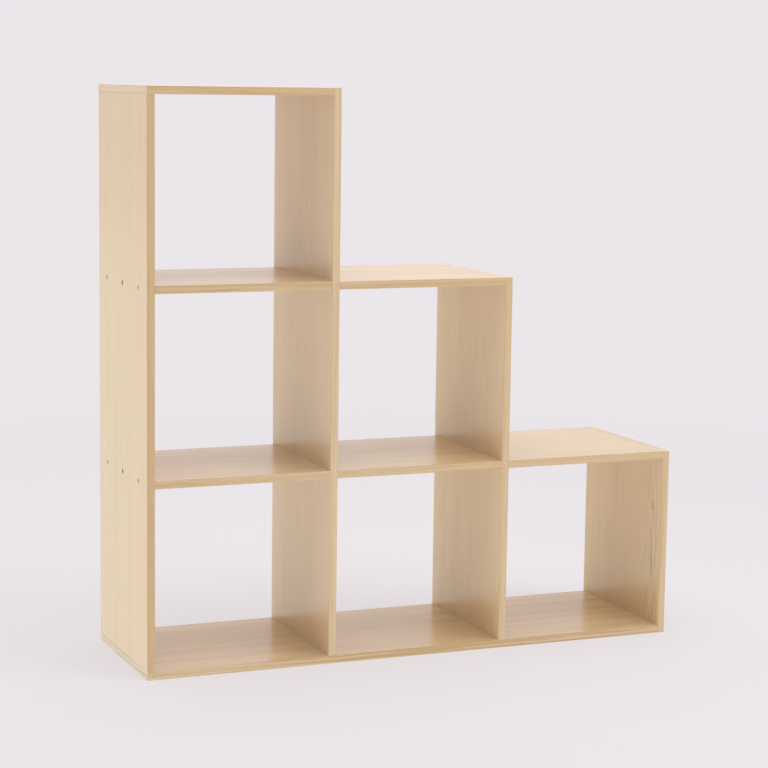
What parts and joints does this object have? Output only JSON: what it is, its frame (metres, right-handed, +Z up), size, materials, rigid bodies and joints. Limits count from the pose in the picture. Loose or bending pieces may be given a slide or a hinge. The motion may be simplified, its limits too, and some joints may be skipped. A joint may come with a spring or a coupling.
{
  "type": "staircase bookshelf",
  "caption": "Open stair-stepped bookshelf of square cubes in pale oak-effect board, screwed and dowelled, free standing, with no back.",
  "frame": {"origin": "on the floor, at the middle of the unit's full width and depth", "axes": "+Z up, +X towards the lowest column, the front edges look along -Y"},
  "size_m": [1.08, 0.32, 1.08],
  "materials": {
    "oak_board": "pale oak decor foil on particle board, satin, with a matching edge band",
    "beech_dowel": "bare beech, fluted and compressed",
    "zinc_screw": "zinc-plated steel"
  },
  "bodies": {
    "root": {"bottom_panel": "oak_board", "divider_middle": "oak_board", "divider_tall": "oak_board", "dowel_divider_middle_foot_back": "beech_dowel", "dowel_divider_middle_foot_front": "beech_dowel", "dowel_divider_middle_level_1_back": "beech_dowel", "dowel_divider_middle_level_1_front": "beech_dowel", "dowel_divider_middle_level_2_back": "beech_dowel", "dowel_divider_middle_level_2_front": "beech_dowel", "dowel_divider_tall_foot_back": "beech_dowel", "dowel_divider_tall_foot_front": "beech_dowel", "dowel_divider_tall_level_1_back": "beech_dowel", "dowel_divider_tall_level_1_front": "beech_dowel", "dowel_divider_tall_level_2_back": "beech_dowel", "dowel_divider_tall_level_2_front": "beech_dowel", "dowel_divider_tall_level_3_back": "beech_dowel", "dowel_divider_tall_level_3_front": "beech_dowel", "dowel_left_side_panel_foot_back": "beech_dowel", "dowel_left_side_panel_foot_front": "beech_dowel", "dowel_left_side_panel_head_back": "beech_dowel", "dowel_left_side_panel_head_front": "beech_dowel", "dowel_left_side_panel_level_1_back": "beech_dowel", "dowel_left_side_panel_level_1_front": "beech_dowel", "dowel_left_side_panel_level_2_back": "beech_dowel", "dowel_left_side_panel_level_2_front": "beech_dowel", "dowel_right_side_panel_level_0_back": "beech_dowel", "dowel_right_side_panel_level_0_front": "beech_dowel", "dowel_right_side_panel_level_1_back": "beech_dowel", "dowel_right_side_panel_level_1_front": "beech_dowel", "left_side_panel": "oak_board", "right_side_panel": "oak_board", "screw_divider_middle_foot": "zinc_screw", "screw_divider_middle_level_1": "zinc_screw", "screw_divider_middle_level_2": "zinc_screw", "screw_divider_tall_foot": "zinc_screw", "screw_divider_tall_level_1": "zinc_screw", "screw_divider_tall_level_2": "zinc_screw", "screw_divider_tall_level_3": "zinc_screw", "screw_left_side_panel_foot": "zinc_screw", "screw_left_side_panel_head": "zinc_screw", "screw_left_side_panel_level_1": "zinc_screw", "screw_left_side_panel_level_2": "zinc_screw", "screw_right_side_panel_level_0": "zinc_screw", "screw_right_side_panel_level_1": "zinc_screw", "shelf_left_lower": "oak_board", "shelf_left_upper": "oak_board", "shelf_middle_lower": "oak_board", "top_panel_left": "oak_board", "top_panel_middle": "oak_board", "top_panel_right": "oak_board"}
  },
  "joints": []
}
